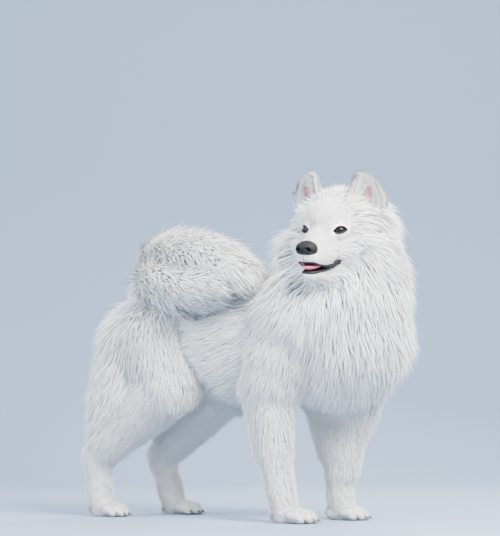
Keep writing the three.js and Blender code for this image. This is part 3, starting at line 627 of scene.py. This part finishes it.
# ---- Tongue, lying in the lower jaw
xs = np.linspace(74, 156, 27)
s = np.linspace(0, 1, 27)
half = 15.0 * np.clip(1 - (np.maximum(s - 0.62, 0) / 0.39) ** 2.4, 0.02, 1) ** 0.5
ang = np.linspace(0, 2 * np.pi, 20, endpoint=False)
pts = []
for x, w, q in zip(xs, half, s):
    low = lip_height(LOWER_LIP, x) + 1.2 + 4.0 * q
    for t in ang:
        y = w * math.cos(t)
        top = math.sin(t)
        crease = 1.4 * math.exp(-(y / 3.0) ** 2) * (top > 0)
        pts.append(on_head((x, y, low + 5.0 + 5.0 * top * min(1.0, 0.3 + 4.0 * (1.0 - q)) - crease
                            + 1.6 * (y / 15) ** 2)))
f = [(i * 20 + j, i * 20 + (j + 1) % 20, (i + 1) * 20 + (j + 1) % 20, (i + 1) * 20 + j)
     for i in range(26) for j in range(20)] + [tuple(range(20))[::-1], tuple(26 * 20 + j for j in range(20))]
tongue = new_object("tongue_flesh", pts, f, tongue_mat)
face_parts.append((tongue, "tongue"))

# ---- Ears: curved plates with a bare pink patch inside
EAR_W = ([0, 0.2, 0.42, 0.64, 0.82, 0.94, 1.0], [1.0, 1.04, 0.96, 0.8, 0.6, 0.4, 0.1])
EAR_T = ([0, 0.2, 0.42, 0.64, 0.82, 0.94, 1.0], [1.0, 0.95, 0.8, 0.62, 0.46, 0.3, 0.1])
ears = []
for side in (1, -1):
    turn = math.radians(side * 22)
    out = np.array((math.cos(turn), math.sin(turn), 0))
    across = np.array((-math.sin(turn), math.cos(turn), 0))
    n, m = 26, 25
    v, rows = [], []
    for i, q in enumerate(np.linspace(0, 1, n)):
        c = np.array((6 + 14 * q, side * (62 + 4 * math.sin(math.pi * q) - 3 * q), mix(40, 113, q)))
        w = 32 * np.interp(q, *EAR_W)
        t = 13 * np.interp(q, *EAR_T)
        arc = np.linspace(0, np.pi, m)
        back = [c + across * w * math.cos(a) - out * t * math.sin(a) for a in arc]
        front = [c + across * w * 0.97 * math.cos(a) - out * (t * math.sin(a) - 1.2 - 2.4 * math.sin(a))
                 for a in arc[::-1]]
        v += back + front
    k = 2 * m
    f = [(i * k + j, i * k + (j + 1) % k, (i + 1) * k + (j + 1) % k, (i + 1) * k + j)
         for i in range(n - 1) for j in range(k)]
    f += [tuple(range(k))[::-1], tuple((n - 1) * k + j for j in range(k))]
    name = "left" if side > 0 else "right"
    ear = new_object("ear_shell_" + name, on_head(np.array(v)), f, [skin_mat, ear_mat])
    bmv = bmesh.new()
    bmv.from_mesh(ear.data)
    bmesh.ops.recalc_face_normals(bmv, faces=bmv.faces[:])
    bmv.to_mesh(ear.data)
    bmv.free()
    for index, poly in enumerate(ear.data.polygons):
        j = index % k
        q = to_head(np.array(poly.center) / MM - SHIFT) - np.array((6, side * 66, 73))
        poly.material_index = 1 if j >= m and (q @ across / 10.5) ** 2 + (q[2] / 23) ** 2 < 1 else 0
    face_parts.append((ear, "ear_" + name))
    ears.append((side, ear, out, across))

# ---- Claws
v, f = [], []
for px, py, wide in PAW_AT:
    for across, reach, turn in TOES:
        base = len(v)
        for x, r, z in ((-6, 3.6, 10.0), (3, 3.2, 9.0), (9.5, 2.2, 6.2), (13, 0.6, 3.0)):
            for t in np.linspace(0, 2 * np.pi, 8, endpoint=False):
                v.append((px + reach + x, py + (across + turn) * wide + r * 0.8 * math.cos(t),
                          z + r * math.sin(t)))
        for i in range(3):
            for j in range(8):
                k = (j + 1) % 8
                f.append((base + i * 8 + j, base + i * 8 + k, base + i * 8 + 8 + k, base + i * 8 + 8 + j))
        f += [tuple(base + j for j in range(8))[::-1], tuple(base + 24 + j for j in range(8))]
claws = new_object("claws", v, f, claw_mat)
face_parts.append((claws, None))

# ---- The skin's own unwrap, so that every tuft knows its root's place
bpy.context.view_layer.objects.active = skin
for o in bpy.context.selected_objects:
    o.select_set(False)
skin.select_set(True)
bpy.ops.object.mode_set(mode="EDIT")
bpy.ops.mesh.select_all(action="SELECT")
bpy.ops.uv.smart_project(angle_limit=math.radians(72), island_margin=0.0005)
bpy.ops.object.mode_set(mode="OBJECT")
skin.data.uv_layers.active.name = "OFBake"
corner_uv = np.empty(len(tri) * 6, np.float32)
skin.data.uv_layers["OFBake"].data.foreach_get("uv", corner_uv)
corner_uv = corner_uv.reshape(-1, 3, 2) * 0.97

# ---- Coat
tri_n = np.cross(co[tri[:, 1]] - co[tri[:, 0]], co[tri[:, 2]] - co[tri[:, 0]])
area = np.linalg.norm(tri_n, axis=1) / 2
tri_n = unit(tri_n)


def lie_and_round(p):
    """The way the hair lies at p, and how round the body is there, from the chains near it."""
    total = np.zeros((len(p), 3))
    weight = np.zeros(len(p))
    radius = np.zeros(len(p))
    for chain in BODY + HEAD + TAIL + PAWS:
        best = np.full(len(p), 1e9)
        way = np.zeros((len(p), 3))
        rad = np.zeros(len(p))
        for a, b in zip(chain, chain[1:]):
            a, b = np.array(a), np.array(b)
            along = b[:3] - a[:3]
            t = np.clip((p - a[:3]) @ along / (along @ along), 0, 1)
            r = a[3] + t * (b[3] - a[3])
            d = np.linalg.norm(p - a[:3] - t[:, None] * along, axis=1) - r
            closer = d < best
            best = np.where(closer, d, best)
            way[closer] = along / np.linalg.norm(along)
            rad = np.where(closer, r, rad)
        w = np.exp(-np.maximum(best, 0) / 9)
        total += way * w[:, None]
        radius += rad * w
        weight += w
    return total / np.maximum(weight, 1e-9)[:, None], radius / np.maximum(weight, 1e-9)


def bare(p):
    """Where no hair grows: eyes, nose, lips, mouth and soles."""
    h = to_head(p)
    x, y, z = h.T
    none = p[:, 2] < 2.5
    for eye in EYES:
        a, b, f = in_eye(p, eye)
        top, low = almond(a, eye, 21.0, 12.0)
        none |= (f > 0) & (np.abs(a) < 21.0) & (b < top) & (b > low)
    none |= (x > 149) & (z > -47) & (np.abs(y) < 23)
    near_mouth = (x > MOUTH_CORNER[0] - 4) & (np.abs(y) < 72)
    above = lip_height(UPPER_LIP, x) + np.where(x > 138, 2.0, 5.0)
    none |= near_mouth & (z < above) & (z > lip_height(LOWER_LIP, x) - 6.0)
    return none


def spread(count):
    """Roots over the skin, closer together where the coat is short or has to fan out."""
    c0 = form(mid, 0) - form(mid, 1)
    _, rad = lie_and_round(mid)
    w = area * (rad + 0.8 * c0) / rad / (2.0 + 0.36 * c0)
    w *= np.where(rad < 30, np.where(c0 > 30, 1.5, 1.0), 1.0)
    w[lining] = 0
    pick = rng.choice(len(tri), count, p=w / w.sum())
    u, v = rng.random((2, count))
    over = u + v > 1
    u, v = np.where(over, 1 - u, u), np.where(over, 1 - v, v)
    bary = np.stack([1 - u - v, u, v], 1)
    at = np.einsum("ij,ijk->ik", bary, co[tri[pick]])
    uv = np.einsum("ij,ijk->ik", bary, corner_uv[pick])
    keep = ~bare(at)
    return at[keep], tri_n[pick][keep], uv[keep]


def tuft_mesh(name, path, across, up, normal, width, shares, uv, calm):
    """Closed tapered three-sided tufts along their paths (tufts, steps, 3). The last step is the tip."""
    count, steps = path.shape[:2]
    rings = steps - 1
    w = width[:, None] * shares[None, :]
    a = across * w[..., None]
    b = up * w[..., None]
    ring = np.stack([path[:, :rings] + a * 0.5, path[:, :rings] + b * 0.36, path[:, :rings] - a * 0.5], 2)
    pts = np.concatenate([ring.reshape(count, rings * 3, 3), path[:, -1:]], 1)
    f = [(0, 1, 2)]
    for i in range(rings - 1):
        for j in range(3):
            k = (j + 1) % 3
            p, q = i * 3, i * 3 + 3
            f += [(p + j, q + j, p + k), (p + k, q + j, q + k)]
    p = (rings - 1) * 3
    f += [(p + j, rings * 3, p + (j + 1) % 3) for j in range(3)]
    f = np.array(f)
    per = rings * 3 + 1
    faces = (np.arange(count)[:, None, None] * per + f[None]).reshape(-1, 3)
    obj = new_object(name, pts.reshape(-1, 3), faces, coat_mat)
    turned = np.stack([across, up * 1.3, -across], 2)[:, :rings].reshape(count, rings * 3, 3)
    soft = np.concatenate([turned, up[:, -1:]], 1) * 0.5 + normal[:, None] * calm
    obj.data.normals_split_custom_set_from_vertices(unit(soft).reshape(-1, 3))
    layer = obj.data.uv_layers.new(name="OFBake")
    spot = np.zeros((per, 2))
    spot[:, 0] = np.tile([-0.0012, 0.0, 0.0012], rings + 1)[:per]
    spot[:, 1] = np.linspace(-0.0012, 0.0012, per)
    where = uv[:, None] + 0.0015 + spot[None]
    layer.data.foreach_set("uv", where[:, f].reshape(-1).astype(np.float32))
    return obj


def grow(name, at, normal, uv, lie, depth, fullness=1.0, calm=0.9, steps=3, limit=190000):
    """A coat over roots: each tuft rises from the skin, bends to the lie and gathers with its neighbours."""
    count = len(at)
    long = np.clip((depth - 12) / 34, 0, 1)
    way = unit(lie) + long[:, None] * np.array((0, 0, -0.42))
    way = way - normal * np.sum(way * normal, 1)[:, None]
    way = unit(way + 1e-6)
    side = np.cross(normal, way)
    sway = rng.normal(0, 1, count) * mix(0.12, 0.22, long)
    way = unit(way + side * sway[:, None])
    height = depth * rng.uniform(0.62, 1.0, count) * mix(1.0, 1.14, long) * fullness
    reach = depth * mix(1.5, 1.15, long) * rng.uniform(0.8, 1.2, count)
    stray = (rng.random(count) < 0.03) & (long > 0.25) & (at[:, 2] > 440) & (at[:, 1] < 10)
    height = np.where(stray, height * 1.3, height)
    reach = np.where(stray, reach * 1.5, reach)
    s = np.linspace(0, 1, steps)
    rise = 1 - (1 - s) ** 1.7
    run = s ** 1.25
    path = (at[:, None] + normal[:, None] * (height[:, None] * rise)[..., None]
            + way[:, None] * (reach[:, None] * run)[..., None])
    path[..., 2] -= (long * reach * 0.12)[:, None] * s ** 2
    path[:, 0] -= normal * 1.2
    # neighbours lean together towards the lock they belong to
    gap = mix(5.0, 17.0, np.clip(depth / 50, 0, 1))
    order = rng.permutation(count)
    heads = order[: max(int(count / 16), 1)]
    tree = KDTree(len(heads))
    for i, k in enumerate(heads):
        tree.insert(at[k], i)
    tree.balance()
    lead = heads[np.array([tree.find(p)[1] for p in at])]
    pull = (mix(0.22, 0.27, long)[:, None] * s ** 1.6)[..., None]
    apart = np.linalg.norm(at - at[lead], axis=1)
    pull = pull * np.clip(1.6 - apart / (gap * 1.4), 0, 1)[:, None, None]
    path = path * (1 - pull) + (path[lead] + (at - at[lead])[:, None] * 0.12) * pull
    wild = rng.normal(0, 1, (count, 3)) * (reach * 0.055)[:, None]
    path += wild[:, None] * (s ** 2)[None, :, None]
    path += (np.clip(path, BOX_LOW, BOX_HIGH) - path) * 0.55
    path[..., 2] = np.maximum(path[..., 2], 0.8)
    along = unit(np.concatenate([path[:, 1:] - path[:, :-1]], 1))
    across = unit(np.cross(along, normal[:, None]) + 1e-6)
    up = np.cross(across, along)
    width = (0.8 + 0.047 * depth) * rng.uniform(0.75, 1.25, count)
    shares = np.interp(np.linspace(0, 1, steps)[:-1], [0, 0.35, 0.75, 1], [0.8, 1.0, 0.62, 0.2])
    per = (steps - 2) * 6 + 4
    size = limit // per
    out = []
    for k, i in enumerate(range(0, count, size)):
        j = slice(i, i + size)
        out.append(tuft_mesh(f"{name}_{k:02d}", path[j], across[j], up[j], normal[j], width[j], shares,
                             uv[j], calm))
    return out


at, normal, uv = spread(TUFTS)
depth = np.maximum(form(at, 0) - form(at, 1), 2.5)
lie, _ = lie_and_round(at)
lie = unit(lie)
for eye in EYES:  # hair parts round the eyes and is shortest there
    a, b, f = in_eye(at, eye)
    r = np.sqrt(a * a + b * b) + 40 * (f < -4)
    near_eye = np.exp(-(r / 31) ** 2)
    away = unit(a[:, None] * eye["u"] + b[:, None] * eye["v"])
    lie = lie * (1 - near_eye[:, None]) + away * near_eye[:, None]
    depth = depth * (1 - 0.8 * near_eye)
h = to_head(at)
lips_z = (lip_height(UPPER_LIP, h[:, 0]) + lip_height(LOWER_LIP, h[:, 0])) / 2
by_lips = (h[:, 0] > MOUTH_CORNER[0] - 16) & (np.abs(h[:, 1]) < 75)
depth = depth * (1 - 0.82 * by_lips * np.exp(-((h[:, 2] - lips_z) / 17) ** 2))
short = depth < SHORT_HAIR
coat = grow("short_coat", at[short], normal[short], uv[short], lie[short], depth[short])
coat += grow("long_coat", at[~short], normal[~short], uv[~short], lie[~short], depth[~short])

# ---- Hair on the ears
for side, ear, out, across in ears:
    name = "left" if side > 0 else "right"
    me = ear.data
    v = np.empty(len(me.vertices) * 3, np.float32)
    me.vertices.foreach_get("co", v)
    v = v.reshape(-1, 3).astype(float) / MM - SHIFT
    me.calc_loop_triangles()
    lt = np.array([t.vertices[:] for t in me.loop_triangles])
    pink = np.array([me.polygons[t.polygon_index].material_index for t in me.loop_triangles]) == 1
    inner = np.array([t.polygon_index % 50 >= 25 for t in me.loop_triangles])
    n = np.cross(v[lt[:, 1]] - v[lt[:, 0]], v[lt[:, 2]] - v[lt[:, 0]])
    a = np.linalg.norm(n, axis=1) / 2
    n = unit(n)
    h = to_head(v[lt].mean(1))
    rim = np.abs((h - np.array((6, side * 62, 0))) @ across) > 24 * np.interp((h[:, 2] - 40) / 78, *EAR_W)
    w = np.where(pink, a * 0.02, a * (1 + 1.2 * rim))
    pick = rng.choice(len(lt), EAR_TUFTS, p=w / w.sum())
    u, q = rng.random((2, EAR_TUFTS))
    over = u + q > 1
    u, q = np.where(over, 1 - u, u), np.where(over, 1 - q, q)
    p = v[lt[pick, 0]] * (1 - u - q)[:, None] + v[lt[pick, 1]] * u[:, None] + v[lt[pick, 2]] * q[:, None]
    hp = to_head(p)
    up_way = np.array((0.05, side * 0.05, 1.0))
    off = (hp - np.array((6, side * 62, 0))) @ across
    inside = inner[pick]
    lean = np.where(inside, -0.35, 0.75) * np.sign(off) * np.clip(np.abs(off) / 20, 0, 1)
    way = up_way[None] + across[None] * lean[:, None]
    way = way @ HEAD_R.T
    deep = np.where(inside, np.where(np.abs(off) < 15, 5.0, 11.0), 10.0)
    deep = deep * np.where((hp[:, 2] < 66) & ~inside, 1.4, 1.0)
    root_uv = np.stack([0.972 + 0.024 * ((hp[:, 2] - 40) / 80),
                        0.03 + 0.4 * (side > 0) + 0.3 * (hp[:, 1] * side - 25) / 70], 1)
    coat += grow("ear_coat_" + name, p, n[pick], root_uv, lie=way, depth=deep, fullness=0.9, calm=0.15)

# ---- Frame: the looks stand for every solid
flesh = ["head", "neck", "torso", "jaw", "tail_base", "tail_middle", "tail_tip"]
limbs = ("foreleg", "fore_paw", "thigh", "hind_shank", "hind_paw")
flesh += [f"{k}_{s}" for k in limbs for s in ("left", "right")]
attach(skin, "root")
for piece in coat:
    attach(piece, "root")
for piece, node in face_parts:
    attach(piece, "root")
    if node:
        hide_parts(node)
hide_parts(*flesh)

# ---- Floor, light and camera
floor_mat, floor_b = principled("floor", (0.24, 0.31, 0.42), 0.8)

world = bpy.data.worlds.new("sky")
bpy.context.scene.world = world
world.use_nodes = True
world.node_tree.nodes["Background"].inputs["Color"].default_value = (0.78, 0.86, 0.96, 1)
world.node_tree.nodes["Background"].inputs["Strength"].default_value = 2.7

ANGLE = math.radians(32)
back = Vector((math.sin(ANGLE), -math.cos(ANGLE), 0))
right = Vector((math.cos(ANGLE), math.sin(ANGLE), 0))
centre = Vector(SHIFT * MM)

bend = [(-2.2 - 1.6 * math.sin(t), 1.6 - 1.6 * math.cos(t)) for t in np.linspace(0, np.pi / 2, 24)]
sweep = [(4.0, 0.0)] + bend + [(-3.8, 7.0)]
stage_v = [centre + back * b + right * r + Vector((0, 0, z)) for b, z in sweep for r in (-9.0, 9.0)]
stage_f = [(2 * i, 2 * i + 1, 2 * i + 3, 2 * i + 2) for i in range(len(sweep) - 1)]
floor = new_object("floor", [np.array(v) / MM - SHIFT for v in stage_v], stage_f, floor_mat)


def area_light(name, place, size, power, color):
    data = bpy.data.lights.new(name, "AREA")
    data.shape = "DISK"
    data.size, data.energy, data.color = size, power, color
    lamp = bpy.data.objects.new(name, data)
    lamp.location = place
    lamp.rotation_euler = (centre + Vector((0, 0, 0.4)) - Vector(place)).to_track_quat("-Z", "Y").to_euler()
    bpy.context.scene.collection.objects.link(lamp)


area_light("key", centre + right * 1.3 + back * 2.0 + Vector((0, 0, 2.1)), 1.6, 400, (1.0, 0.96, 0.90))
area_light("fill", centre - right * 2.3 + back * 1.0 + Vector((0, 0, 1.3)), 2.0, 90, (0.82, 0.90, 1.0))
area_light("rim", centre - back * 2.2 + right * 0.8 + Vector((0, 0, 1.9)), 1.4, 90, (1.0, 0.98, 0.95))

FOCAL, HORIZON = 1209.0, 179.0  # focal length, and the horizon's place below the middle, in picture points
cam = bpy.data.cameras.new("camera")
cam.sensor_width = 36
cam.lens = FOCAL / 536 * 36
eye_at = centre + back * 2.6 + Vector((0, 0, 0.15))
shooter = bpy.data.objects.new("camera", cam)
shooter.location = eye_at
pitch = math.atan(HORIZON / FOCAL)
shooter.rotation_euler = (math.pi / 2 + pitch, 0, ANGLE)
bpy.context.scene.collection.objects.link(shooter)
bpy.context.scene.camera = shooter
